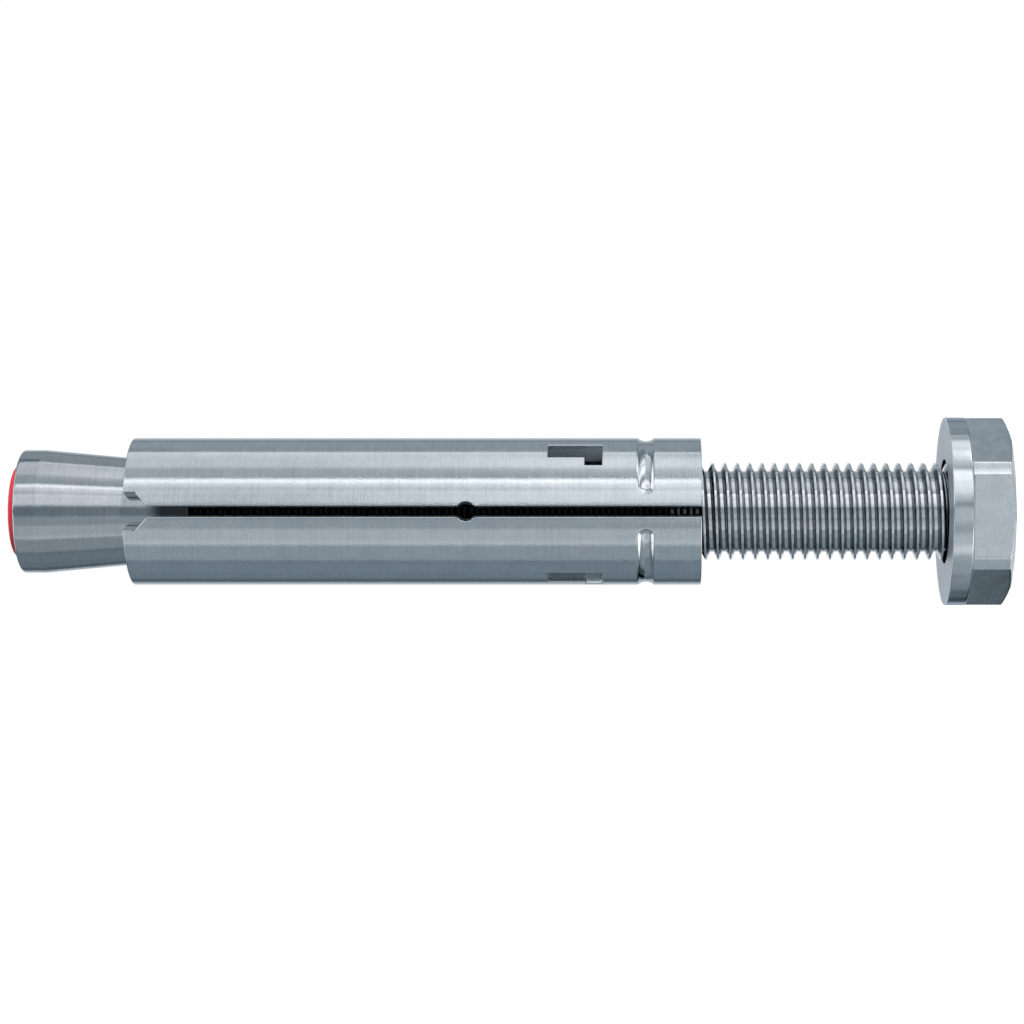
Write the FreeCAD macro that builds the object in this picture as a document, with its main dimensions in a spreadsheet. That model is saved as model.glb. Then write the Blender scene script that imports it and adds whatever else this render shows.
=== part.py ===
"""Sleeve anchor: a hex bolt that draws a cone nut into a slotted, rolled sheet sleeve.

The anchor stands on the end of its bolt head. The axis is Z and points from the
head to the cone; the origin is the centre of the head's end face. Lengths are in
millimetres and angles in degrees. Angles round the axis start at -Y, where the
sleeve's seam is, and grow towards +X.
"""

import FreeCAD, Part
import os
import Sketcher

FULL_TURN = 360
SMALLEST_CHANGE = 1e-6  # a feature that changes the volume by less does nothing

doc = FreeCAD.newDocument("SleeveAnchor")
sheet = doc.addObject("Spreadsheet::Sheet", "sizes")

# Sizes that drive the model

DRIVING = (
    # Bolt
    ("thread_size", "10", "nominal diameter of the bolt's thread"),
    ("crest_relief", "0.12", "how far the thread's crests lie under the nominal radius"),
    ("tip_chamfer", "0.8", "chamfer on the bolt's tip"),
    ("engagement", "7.5", "length of bolt inside the cone nut as assembled"),
    ("head_flats", "17", "hexagon, flat to flat"),
    ("head_height", "4.3", "height of the head"),
    ("head_turn", "-3.2", "angle of a head flat from the seam"),
    ("corner_cut", "0.78", "cut on each upright corner of the head, along the flat"),
    ("end_inset", "0.22", "how far the end face's circle lies inside the flats"),
    ("end_slope", "24", "slope of the chamfer round the head's end"),
    ("edge_break", "0.15", "small chamfer on turned edges"),
    # Washer
    ("washer_overhang", "0.075", "how far the washer reaches past the head's cut corners"),
    ("washer_thickness", "2", "thickness of the washer"),
    ("washer_play", "0.25", "radial play of the washer on the thread"),
    # Sleeve
    ("clamp_space", "24.57", "bare bolt between washer and sleeve, for the fixture"),
    ("sleeve_length", "57.1", "length of the sleeve"),
    ("sleeve_wall", "1.9", "thickness of the rolled sheet"),
    ("sleeve_play", "0.62", "radial play of the sleeve on the bolt"),
    ("slot_width", "1.07", "width of the seam and of the slots"),
    ("slot_length", "33.8", "from the sleeve's mouth to the centre of a slot's hole"),
    ("slot_count", "3", "slots, windows and beads round the sleeve"),
    ("hole_diameter", "1.93", "round hole that ends a slot"),
    ("notch_width", "3.8", "width of the notch at a slot's mouth"),
    ("notch_depth", "1.19", "straight part of the notch"),
    ("notch_slant", "1.26", "slanted part of the notch"),
    ("window_back", "9.9", "from the sleeve's back end to a window"),
    ("window_length", "5.36", "length of a window along the axis"),
    ("window_foot", "1.7", "length of the window's wide part"),
    ("window_wide_from", "38.7", "where the wide part starts round the axis"),
    ("window_narrow_from", "47.1", "where the narrow part starts round the axis"),
    ("window_to", "63.5", "where both parts end round the axis"),
    ("bead_back", "5.54", "from the sleeve's back end to the middle of a bead"),
    ("bead_width", "1.6", "width of a bead at the surface"),
    ("bead_depth", "0.3", "depth of a bead"),
    ("bead_from", "13.2", "where a bead starts round the axis"),
    ("bead_to", "106.8", "where a bead ends round the axis"),
    # Cone nut
    ("cone_length", "17.3", "length of the cone nut"),
    ("cone_overlap", "6.17", "length of its tail inside the sleeve's mouth"),
    ("cone_rise", "0.79", "how far the cone's side rises from the tail to the land"),
    ("cone_land_length", "2.2", "length of the land"),
    ("cone_slope", "5.28", "slope of the cone's side"),
    ("cone_edge", "0.28", "chamfer on the land's front edge"),
    ("tail_play", "0.1", "radial play of the tail in the sleeve"),
    ("thread_play", "0.05", "radial play between the bolt's crests and the nut's roots"),
    ("thread_depth", "0.58", "depth of the nut's thread"),
    ("core_length", "2.8", "thread core in front of the bolt's travel"),
    # Dust plug
    ("stem_length", "2.5", "length of the plug's stem"),
    ("flange_thickness", "0.8", "thickness of the plug's flange"),
    ("flange_overhang", "0.2", "how far the flange reaches past the core hole"),
    ("flange_edge", "0.2", "chamfer on the flange's outer edge"),
    # Cutting tools run this far past what they cut
    ("overrun", "2", "run of a cut past the surface"),
)

DERIVED = (
    ("bolt_radius", "=thread_size / 2 - crest_relief"),
    ("head_back", "=head_height"),
    ("flat_radius", "=head_flats / 2"),
    ("corner_near", "=flat_radius / sqrt(3)"),
    ("corner_far", "=2 * corner_near"),
    ("end_radius", "=flat_radius - end_inset"),
    ("cut_radius", "=corner_far + overrun"),
    ("end_rise", "=(cut_radius - end_radius) * tan(end_slope)"),
    ("washer_top", "=head_back + washer_thickness"),
    ("washer_bore", "=thread_size / 2 + washer_play"),
    ("washer_radius", "=corner_far - corner_cut / 2 + washer_overhang"),
    ("sleeve_bottom", "=washer_top + clamp_space"),
    ("sleeve_top", "=sleeve_bottom + sleeve_length"),
    ("sleeve_inner", "=bolt_radius + sleeve_play"),
    ("sleeve_outer", "=sleeve_inner + sleeve_wall"),
    ("slot_half", "=slot_width / 2"),
    ("slot_end", "=sleeve_top - slot_length"),
    ("hole_radius", "=hole_diameter / 2"),
    ("notch_half", "=notch_width / 2"),
    ("notch_shoulder", "=sleeve_top - notch_depth"),
    ("notch_point", "=notch_shoulder - notch_slant"),
    ("above_sleeve", "=sleeve_top + overrun"),
    ("below_sleeve", "=sleeve_bottom - overrun"),
    ("inside_sleeve", "=sleeve_inner - edge_break"),
    ("outside_sleeve", "=sleeve_outer + overrun"),
    ("window_bottom", "=sleeve_bottom + window_back"),
    ("window_step", "=window_bottom + window_foot"),
    ("window_top", "=window_bottom + window_length"),
    ("bead_middle", "=sleeve_bottom + bead_back"),
    ("bead_radius", "=(bead_width ^ 2 / 4 + bead_depth ^ 2) / (2 * bead_depth)"),
    ("bead_centre", "=sleeve_outer + bead_radius - bead_depth"),
    ("bead_cap", "=bead_width / 2 / sleeve_outer * 180 / pi"),
    ("bulge_radius", "=bead_radius + sleeve_wall"),
    ("bulge_root", "=sleeve_inner + bead_depth"),
    ("cone_bottom", "=sleeve_top - cone_overlap"),
    ("cone_top", "=cone_bottom + cone_length"),
    ("tail_radius", "=sleeve_inner - tail_play"),
    ("cone_land_radius", "=tail_radius + cone_rise"),
    ("land_bottom", "=cone_top - cone_land_length"),
    ("taper_bottom", "=land_bottom - cone_rise / tan(cone_slope)"),
    ("land_edge", "=cone_top - cone_edge"),
    ("land_rim", "=cone_land_radius - cone_edge"),
    ("nut_bore", "=bolt_radius + thread_play"),
    ("nut_core", "=nut_bore - thread_depth"),
    ("core_bottom", "=cone_top - core_length"),
    ("tail_mouth", "=nut_bore + edge_break"),
    ("tail_step", "=cone_bottom + edge_break"),
    ("tail_rim", "=tail_radius - edge_break"),
    ("bolt_tip", "=cone_bottom + engagement"),
    ("tip_edge", "=bolt_tip - tip_chamfer"),
    ("tip_radius", "=bolt_radius - tip_chamfer"),
    ("stem_bottom", "=cone_top - stem_length"),
    ("flange_radius", "=nut_core + flange_overhang"),
    ("flange_top", "=cone_top + flange_thickness"),
    ("flange_shoulder", "=flange_top - flange_edge"),
    ("flange_rim", "=flange_radius - flange_edge"),
)


def fill_sheet():
    """Write the driving sizes and the sizes worked out from them."""
    rows = list(DRIVING) + [(name, formula, "") for name, formula in DERIVED]
    for row, (name, content, note) in enumerate(rows, start=1):
        sheet.set("A%d" % row, name)
        sheet.set("B%d" % row, content)
        sheet.setAlias("B%d" % row, name)
        sheet.set("C%d" % row, note)
    doc.recompute()


def value(term):
    """Return the number behind a term: a name, a name with a minus, or 0."""
    if term == "0":
        return 0.0
    sign = -1.0 if term.startswith("-") else 1.0
    return sign * float(sheet.get(term.lstrip("-")))


def bound(term):
    """Return the expression for a term."""
    if term.startswith("-"):
        return "-sizes." + term[1:]
    return "sizes." + term


# Sketches and features

def new_body(label):
    """Start a sub-part; its label names its file."""
    body = doc.addObject("PartDesign::Body", label.title().replace("_", ""))
    body.Label = label
    body.Placement = FreeCAD.Placement()
    return body


def new_sketch(body, name, role, turn=None):
    """Attach a sketch to an origin plane of its body, turned about its upright axis."""
    sketch = body.newObject("Sketcher::SketchObject", name)
    plane = [item for item in body.Origin.OriginFeatures if item.Role == role][0]
    sketch.AttachmentSupport = (plane, "")
    sketch.MapMode = "FlatFace"
    if turn:
        sketch.AttachmentOffset = FreeCAD.Placement(
            FreeCAD.Vector(), FreeCAD.Rotation(FreeCAD.Vector(0, 1, 0), 1))
        sketch.setExpression("AttachmentOffset.Rotation.Angle", turn)
    sketch.Visibility = False
    return sketch


def tie(sketch, kind, first, second, term):
    """Bind one distance or radius in a sketch to the sheet."""
    index = sketch.addConstraint(Sketcher.Constraint(kind, *first, *second, value(term)))
    sketch.setExpression("Constraints[%d]" % index, bound(term))


def tie_point(sketch, point, across, up):
    """Bind both coordinates of a point; a coordinate of 0 lies on the axis."""
    origin = (-1, 1)
    if across == "0":
        sketch.addConstraint(Sketcher.Constraint("PointOnObject", *point, -2))
    else:
        tie(sketch, "DistanceX", origin, point, across)
    if up == "0":
        sketch.addConstraint(Sketcher.Constraint("PointOnObject", *point, -1))
    else:
        tie(sketch, "DistanceY", origin, point, up)


def outline(body, name, corners, role="XZ_Plane", turn=None):
    """Draw a closed outline through corners given as (across, up) terms."""
    sketch = new_sketch(body, name, role, turn)
    points = [FreeCAD.Vector(value(across), value(up), 0) for across, up in corners]
    count = len(points)
    for index in range(count):
        sketch.addGeometry(Part.LineSegment(points[index], points[(index + 1) % count]), False)
    for index in range(count):
        sketch.addConstraint(
            Sketcher.Constraint("Coincident", index, 2, (index + 1) % count, 1))
    for index, (across, up) in enumerate(corners):
        tie_point(sketch, (index, 1), across, up)
    return sketch


def disc(body, name, across, up, radius, turn=None):
    """Draw a circle whose centre and radius are terms."""
    sketch = new_sketch(body, name, "XZ_Plane", turn)
    centre = FreeCAD.Vector(value(across), value(up), 0)
    sketch.addGeometry(Part.Circle(centre, FreeCAD.Vector(0, 0, 1), value(radius)), False)
    tie_point(sketch, (0, 3), across, up)
    tie(sketch, "Radius", (0,), (), radius)
    return sketch


def segment(body, name, radius, chord, turn):
    """Draw the part of a bead's circle that lies inside a chord parallel to the axis."""
    sketch = new_sketch(body, name, "XZ_Plane", turn)
    centre = FreeCAD.Vector(value("bead_centre"), value("bead_middle"), 0)
    half = (value(radius) ** 2 - (centre.x - value(chord)) ** 2) ** 0.5
    low = FreeCAD.Vector(value(chord), centre.y - half, 0)
    high = FreeCAD.Vector(value(chord), centre.y + half, 0)
    nearest = FreeCAD.Vector(centre.x - value(radius), centre.y, 0)
    sketch.addGeometry(Part.Arc(low, nearest, high), False)
    sketch.addGeometry(Part.LineSegment(high, low), False)
    arc_low, arc_high = (0, 1), (0, 2)
    if sketch.Geometry[0].StartPoint.y > centre.y:
        arc_low, arc_high = arc_high, arc_low
    sketch.addConstraint(Sketcher.Constraint("Coincident", *arc_high, 1, 1))
    sketch.addConstraint(Sketcher.Constraint("Coincident", *arc_low, 1, 2))
    sketch.addConstraint(Sketcher.Constraint("Vertical", 1))
    tie(sketch, "DistanceX", (-1, 1), (1, 1), chord)
    tie_point(sketch, (0, 3), "bead_centre", "bead_middle")
    tie(sketch, "Radius", (0,), (), radius)
    return sketch


def turned(body, kind, name, sketch, angle=None):
    """Turn a section about the axis, as material or as a groove."""
    feature = body.newObject("PartDesign::" + kind, name)
    feature.Profile = sketch
    feature.ReferenceAxis = (sketch, ["V_Axis"])
    feature.Angle = FULL_TURN
    if angle:
        feature.setExpression("Angle", angle)
    return feature


def cut_through(body, name, sketch):
    """Cut a sketch on the XZ plane through the wall on the -Y side."""
    feature = body.newObject("PartDesign::Pocket", name)
    feature.Profile = sketch
    feature.Reversed = True
    feature.setExpression("Length", "sizes.outside_sleeve")
    return feature


def ring_of(body, name, features, sketch):
    """Repeat features evenly round the axis."""
    pattern = body.newObject("PartDesign::PolarPattern", name)
    pattern.Originals = features
    pattern.Axis = (sketch, ["V_Axis"])
    pattern.Angle = FULL_TURN
    pattern.setExpression("Occurrences", "sizes.slot_count")
    body.Tip = pattern
    return pattern


# Expansion sleeve: a rolled sheet with seam, slots, windows and beads

def sector(body, name, low, high, start):
    """Cut a window with radial sides, from one angle round the axis to another."""
    section = outline(
        body, name + "Section",
        (("inside_sleeve", low), ("outside_sleeve", low),
         ("outside_sleeve", high), ("inside_sleeve", high)),
        turn="(sizes.%s - 90) * 1 deg" % start)
    return turned(body, "Groove", name, section, "sizes.window_to - sizes.%s" % start)


def bead(body):
    """Roll one bead: a shallow groove with round ends, and its bulge inside."""
    start = "(sizes.bead_from + sizes.bead_cap - 90) * 1 deg"
    stop = "(sizes.bead_to - sizes.bead_cap - 90) * 1 deg"
    sweep = "sizes.bead_to - sizes.bead_from - 2 * sizes.bead_cap"

    inner = segment(body, "BulgeSection", "bulge_radius", "bulge_root", start)
    bulge = turned(body, "Revolution", "Bulge", inner, sweep)
    section = disc(body, "BeadSection", "bead_centre", "bead_middle", "bead_radius", start)
    features = [bulge, turned(body, "Groove", "Bead", section, sweep)]
    for name, angle in (("BeadStart", start), ("BeadStop", stop)):
        half = segment(body, name + "Section", "bead_radius", "bead_centre", angle)
        cap = turned(body, "Groove", name, half)
        cap.ReferenceAxis = (half, ["Edge2"])
        features.append(cap)
    return features


def build_sleeve():
    """Turn the wall, roll the beads and cut slots, windows and seam."""
    body = new_body("expansion_sleeve")
    wall = outline(
        body, "WallSection",
        (("sleeve_inner", "sleeve_bottom"), ("sleeve_outer", "sleeve_bottom"),
         ("sleeve_outer", "sleeve_top"), ("sleeve_inner", "sleeve_top")))
    turned(body, "Revolution", "Wall", wall)

    beads = bead(body)
    ring_of(body, "Beads", beads, wall)

    slot_sketch = outline(
        body, "SlotOutline",
        (("-slot_half", "slot_end"), ("slot_half", "slot_end"), ("slot_half", "notch_point"),
         ("notch_half", "notch_shoulder"), ("notch_half", "above_sleeve"),
         ("-notch_half", "above_sleeve"), ("-notch_half", "notch_shoulder"),
         ("-slot_half", "notch_point")))
    slot = cut_through(body, "Slot", slot_sketch)
    hole = cut_through(body, "SlotHole", disc(body, "HoleOutline", "0", "slot_end", "hole_radius"))
    ring_of(body, "Slots", [slot, hole], wall)

    foot = sector(body, "WindowFoot", "window_bottom", "window_step", "window_wide_from")
    neck = sector(body, "WindowNeck", "window_bottom", "window_top", "window_narrow_from")
    ring_of(body, "Windows", [foot, neck], wall)

    seam_sketch = outline(
        body, "SeamOutline",
        (("-slot_half", "below_sleeve"), ("slot_half", "below_sleeve"),
         ("slot_half", "slot_end"), ("-slot_half", "slot_end")))
    cut_through(body, "Seam", seam_sketch)
    return body


# Cone nut and the dust plug pressed into its front

def build_cone():
    """Turn the cone nut: tail, cone and land outside, thread and its core inside."""
    body = new_body("cone_nut")
    section = outline(
        body, "ConeSection",
        (("tail_mouth", "cone_bottom"), ("tail_rim", "cone_bottom"), ("tail_radius", "tail_step"),
         ("tail_radius", "taper_bottom"), ("cone_land_radius", "land_bottom"),
         ("cone_land_radius", "land_edge"), ("land_rim", "cone_top"), ("nut_core", "cone_top"),
         ("nut_core", "core_bottom"), ("nut_bore", "core_bottom"), ("nut_bore", "tail_step")))
    turned(body, "Revolution", "Cone", section)
    return body


def build_plug():
    """Turn the plug: a stem that fills the thread's core, and a flange."""
    body = new_body("dust_plug")
    section = outline(
        body, "PlugSection",
        (("0", "stem_bottom"), ("nut_core", "stem_bottom"), ("nut_core", "cone_top"),
         ("flange_radius", "cone_top"), ("flange_radius", "flange_shoulder"),
         ("flange_rim", "flange_top"), ("0", "flange_top")))
    turned(body, "Revolution", "Plug", section)
    return body


# Hex bolt and its washer

def build_bolt():
    """Pad the head, cut its corners and its end, and turn the shank."""
    body = new_body("hex_bolt")
    hexagon = outline(
        body, "HexOutline",
        (("corner_near", "-flat_radius"), ("corner_far", "0"), ("corner_near", "flat_radius"),
         ("-corner_near", "flat_radius"), ("-corner_far", "0"), ("-corner_near", "-flat_radius")),
        role="XY_Plane")
    hexagon.AttachmentOffset = FreeCAD.Placement(
        FreeCAD.Vector(), FreeCAD.Rotation(FreeCAD.Vector(0, 0, 1), 1))
    hexagon.setExpression("AttachmentOffset.Rotation.Angle", "sizes.head_turn * 1 deg")
    head = body.newObject("PartDesign::Pad", "Head")
    head.Profile = hexagon
    head.setExpression("Length", "sizes.head_height")
    doc.recompute()

    upright = ["Edge%d" % number for number, edge in enumerate(head.Shape.Edges, start=1)
               if edge.BoundBox.ZLength > edge.Length / 2]
    corners = body.newObject("PartDesign::Chamfer", "HeadCorners")
    corners.Base = (head, upright)
    corners.setExpression("Size", "sizes.corner_cut")
    body.Tip = corners

    end = outline(
        body, "EndSection",
        (("end_radius", "0"), ("cut_radius", "0"), ("cut_radius", "end_rise")))
    turned(body, "Groove", "HeadEnd", end)

    shank = outline(
        body, "ShankSection",
        (("0", "head_back"), ("bolt_radius", "head_back"), ("bolt_radius", "tip_edge"),
         ("tip_radius", "bolt_tip"), ("0", "bolt_tip")))
    turned(body, "Revolution", "Shank", shank)
    return body


def build_washer():
    """Turn the washer and break its edges."""
    body = new_body("washer")
    section = outline(
        body, "WasherSection",
        (("washer_bore", "head_back"), ("washer_radius", "head_back"),
         ("washer_radius", "washer_top"), ("washer_bore", "washer_top")))
    ring = turned(body, "Revolution", "Ring", section)
    doc.recompute()
    rims = ["Edge%d" % number for number, edge in enumerate(ring.Shape.Edges, start=1)
            if isinstance(edge.Curve, Part.Circle)]
    edges = body.newObject("PartDesign::Chamfer", "RingEdges")
    edges.Base = (ring, rims)
    edges.setExpression("Size", "sizes.edge_break")
    body.Tip = edges
    return body


def check_document(bodies):
    """Stop on a broken object, on an empty shape or on a feature that does nothing."""
    for item in doc.Objects:
        if "Invalid" in item.State or "Error" in item.State:
            raise RuntimeError("%s did not compute: %s" % (item.Label, item.State))
    removing = ("Pocket", "Groove", "Chamfer", "PolarPattern")
    for body in bodies:
        if body.Shape.isNull() or not body.Shape.isValid() or len(body.Shape.Solids) != 1:
            raise RuntimeError("%s is not one valid solid" % body.Label)
        volume = 0.0
        for feature in body.Group:
            if feature.isDerivedFrom("Sketcher::SketchObject"):
                continue
            cuts = any(word in feature.TypeId for word in removing)
            change = feature.Shape.Volume - volume
            # The beads' bulges and grooves nearly cancel, so that pattern may change either way
            gain = abs(change) if feature.Name == "Beads" else -change if cuts else change
            if gain < SMALLEST_CHANGE:
                raise RuntimeError("%s.%s changes nothing" % (body.Label, feature.Label))
            volume = feature.Shape.Volume


def write_parts(bodies):
    """Write each sub-part to a file of its own."""
    os.makedirs("parts", exist_ok=True)
    for body in bodies:
        body.Shape.exportStep("parts/%s.step" % body.Label)


fill_sheet()
parts = [build_sleeve(), build_cone(), build_plug(), build_bolt(), build_washer()]
doc.recompute()
check_document(parts)
write_parts(parts)
for part in parts:
    box = part.Shape.BoundBox
    print("%-17s volume %9.2f  x %7.3f..%7.3f  y %7.3f..%7.3f  z %7.3f..%7.3f" % (
        part.Label, part.Shape.Volume, box.XMin, box.XMax, box.YMin, box.YMax, box.ZMin, box.ZMax))
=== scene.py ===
"""Studio scene of a sleeve anchor that stands on the end of its bolt head.

Everything is in the part's own frame: +Z runs from the head to the cone nut, and the
sleeve's seam faces -Y. An angle round the axis is called a turn: 0 faces -Y and it grows
towards +X. Sizes in the classes are millimetres; a mesh gets metres when it is made.
"""

import logging
import math
from dataclasses import dataclass
from enum import Enum
from typing import Any, Callable, Sequence

import bmesh
import bpy
import numpy as np
from bpy.types import ID, Material, Mesh, Node, NodeSocket, NodeTree, Object
from mathutils import Matrix, Vector


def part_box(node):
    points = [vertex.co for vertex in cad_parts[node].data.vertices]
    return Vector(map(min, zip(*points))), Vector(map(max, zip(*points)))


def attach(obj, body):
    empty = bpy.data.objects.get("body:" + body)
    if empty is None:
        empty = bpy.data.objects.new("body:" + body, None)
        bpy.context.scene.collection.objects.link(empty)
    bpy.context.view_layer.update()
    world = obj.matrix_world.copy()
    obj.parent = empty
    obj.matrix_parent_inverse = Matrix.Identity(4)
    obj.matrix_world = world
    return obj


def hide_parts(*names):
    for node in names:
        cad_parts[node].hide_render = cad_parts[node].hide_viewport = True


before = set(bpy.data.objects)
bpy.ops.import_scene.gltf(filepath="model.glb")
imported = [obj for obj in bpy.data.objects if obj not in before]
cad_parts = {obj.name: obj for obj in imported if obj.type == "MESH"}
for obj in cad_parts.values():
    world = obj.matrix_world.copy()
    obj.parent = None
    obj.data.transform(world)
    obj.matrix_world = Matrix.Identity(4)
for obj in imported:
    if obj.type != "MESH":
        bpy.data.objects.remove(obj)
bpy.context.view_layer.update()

log = logging.getLogger("sleeve_anchor")

Array = np.ndarray
Rgb = tuple[float, float, float]
Span = tuple[float, float]
Sizes = tuple[float, ...]

MM = 0.001
WHITE = (1, 1, 1)

# Tolerance on turns and heights
TINY = 1e-6

# In metres: where vertices merge, where an edge has no length, and the depth of a full bump
MERGE = 1e-6
FLAT = 1e-7
BUMP_DEPTH = 0.00002


class Body(Enum):
    """The bodies of the frame that a piece can ride on."""

    SLEEVE = "sleeve"
    BOLT = "bolt"
    CONE = "cone"
    WASHER = "washer"


class Slot(Enum):
    """The record's material slots."""

    SLEEVE = "sleeve_steel"
    CONE = "cone_steel"
    BOLT = "bolt_steel"
    WASHER = "washer_steel"
    PLUG = "plug_red"


class Lay(Enum):
    """The way in which a finish's hairlines run."""

    AROUND = "rings along the axis"
    RINGS = "rings on faces square to it"
    PLAIN = "no hairlines"


class Level(Enum):
    """Where a panel shines, by a direction's share of Z: none, full, full and none again."""

    ALL = (-3, -2, 2, 3)
    HEAD = (-3, -2, -0.1165, -0.1125)
    FOOT = (-3, -2, -0.108, -0.098)
    THREAD = (-0.108, -0.098, -0.03, -0.01)
    LOW = (-3, -2, -0.02, 0.14)
    FALLING = (-3, -2, 0.03, 0.19)
    LAND = (0.184, 0.19, 2, 3)


# Grids, profiles and meshes


def node_ends(node: str) -> Span:
    """Return the heights between which a CAD node lies, to the nearest micrometre."""
    low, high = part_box(node)
    return round(low[2] / MM, 3), round(high[2] / MM, 3)


def stations(marks: Sequence[float], steps: Sequence[float]) -> Array:
    """Divide the spans between marks evenly.

    Args:
        marks: values in rising order.
        steps: the widest step allowed in each span.

    Returns:
        All marks and the points between them, in rising order.
    """
    spans = []
    for low, high, step in zip(marks[:-1], marks[1:], steps):
        count = max(1, math.ceil((high - low) / step - TINY))
        spans.append(np.linspace(low, high, count + 1)[:-1])
    return np.concatenate(spans + [marks[-1:]])


def circle(sides: int) -> Array:
    """Return evenly spaced turns over the whole circle, with both of its ends."""
    return np.linspace(0, 360, sides + 1)


def round_axis(turn: Array, radius: Array, height: Array) -> Array:
    """Place points round the axis: x = r sin(turn), y = -r cos(turn), z = height.

    Args:
        turn: turns in degrees.
        radius: distances from the axis.
        height: heights along the axis.

    Returns:
        Points, with the coordinates in the last dimension.
    """
    turn, radius, height = np.broadcast_arrays(np.radians(turn), radius, height)
    return np.stack([radius * np.sin(turn), -radius * np.cos(turn), height], axis=-1)


def rounded_path(corners: Array, cuts: Sequence[float], steps: int = 5, guard: float = 1.5) -> Array:
    """Round the corners of an open path.

    Near a corner P with a cut c the path follows P + (1-t)^2 a + t^2 b, where a and b are
    steps of length c back and ahead. A guard point on each side keeps the flats flat.

    Args:
        corners: points of the path, shaped (..., count, 2).
        cuts: one cut for each corner; 0 leaves it sharp.
        steps: points on each rounded corner.
        guard: distance of the guard points from the corner, in cuts.

    Returns:
        The rounded path, shaped (..., more, 2).
    """
    out = []
    for index, cut in enumerate(cuts):
        point = corners[..., index:index + 1, :]
        if cut == 0:
            out.append(point)
            continue
        back = corners[..., index - 1:index, :] - point
        ahead = corners[..., index + 1:index + 2, :] - point
        back = cut * back / np.linalg.norm(back, axis=-1, keepdims=True)
        ahead = cut * ahead / np.linalg.norm(ahead, axis=-1, keepdims=True)
        share = np.linspace(0, 1, steps)[:, None]
        curve = point + (1 - share) ** 2 * back + share**2 * ahead
        out += [point + guard * back, curve, point + guard * ahead]
    return np.concatenate(out, axis=-2)


def grid_faces(rows: int, columns: int) -> Array:
    """Number the quads of a grid of vertices.

    Args:
        rows: rows of vertices.
        columns: vertices in a row.

    Returns:
        The quads, shaped (count, 4).
    """
    index = np.arange(rows * columns).reshape(rows, columns)
    quads = [index[:-1, :-1], index[:-1, 1:], index[1:, 1:], index[1:, :-1]]
    return np.stack(quads, axis=-1).reshape(-1, 4)


def build_mesh(name: str, points: Array, faces: Array, turn_out: bool) -> Mesh:
    """Make a smooth closed mesh from points in millimetres.

    Args:
        name: name of the mesh.
        points: vertices, shaped (count, 3).
        faces: quads, shaped (count, 4).
        turn_out: whether the faces are turned to point outwards.

    Returns:
        The mesh, with doubles merged and faces without area dropped.
    """
    mesh = bpy.data.meshes.new(name)
    mesh.from_pydata((points * MM).tolist(), [], faces.tolist())
    work = bmesh.new()
    work.from_mesh(mesh)
    bmesh.ops.remove_doubles(work, verts=work.verts, dist=MERGE)
    bmesh.ops.dissolve_degenerate(work, dist=FLAT, edges=work.edges)
    if turn_out:
        bmesh.ops.recalc_face_normals(work, faces=work.faces)
    work.to_mesh(mesh)
    work.free()
    mesh.polygons.foreach_set("use_smooth", np.ones(len(mesh.polygons), dtype=bool))
    mesh.update()
    return mesh


def turned_mesh(name: str, path: Array, turns: Array) -> Mesh:
    """Carry a path of (radius, height) round the axis.

    A point of the surface is round_axis(turn, radius, height). The mesh closes where the path
    starts and ends on the axis or at the same point.

    Args:
        name: name of the mesh.
        path: shaped (count, 2), or (turns, count, 2) where it changes.
        turns: turns in degrees over the whole circle, both ends included.

    Returns:
        The mesh, with its faces turned outwards.
    """
    points = round_axis(turns[:, None], path[..., 0], path[..., 1])
    return build_mesh(name, points.reshape(-1, 3), grid_faces(*points.shape[:2]), True)


def add_object(name: str, data: ID) -> Object:
    """Put a mesh, lamp or camera into the scene as a new object.

    Args:
        name: name of the object.
        data: what it shows.

    Returns:
        The object.
    """
    made = bpy.data.objects.new(name, data)
    bpy.context.scene.collection.objects.link(made)
    return made


def place(mesh: Mesh, body: Body, node: str, material: Material) -> Object:
    """Put a mesh into the scene for a node of the frame.

    Args:
        mesh: the piece's mesh, in metres.
        body: the body it moves with.
        node: the node it stands for.
        material: its material.

    Returns:
        The new object.
    """
    piece = add_object(mesh.name, mesh)
    mesh.materials.append(material)
    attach(piece, body.value)
    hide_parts(node)
    return piece


# Shader graphs


def operator(operation: str, swapped: bool = False) -> Callable[..., "Signal"]:
    """Make a method of Signal that adds a Math node.

    Args:
        operation: the node's operation.
        swapped: whether the other term comes first, as in a reflected form.

    Returns:
        The method.
    """

    def method(self: "Signal", *others: "Term") -> "Signal":
        """Return the operation's result as a signal."""
        return self.graph.math(operation, *(others + (self,) if swapped else (self,) + others))

    return method


class Signal:
    """A number worked out by a shader. Arithmetic on it adds Math nodes."""

    def __init__(self, graph: "Graph", socket: NodeSocket) -> None:
        """Wrap a socket of a graph."""
        self.graph = graph
        self.socket = socket

    __add__, __radd__ = operator("ADD"), operator("ADD", True)
    __sub__, __rsub__ = operator("SUBTRACT"), operator("SUBTRACT", True)
    __mul__, __rmul__ = operator("MULTIPLY"), operator("MULTIPLY", True)
    __truediv__, __rtruediv__ = operator("DIVIDE"), operator("DIVIDE", True)
    __pow__, __rpow__ = operator("POWER"), operator("POWER", True)
    __abs__ = operator("ABSOLUTE")


Term = Signal | float


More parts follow.
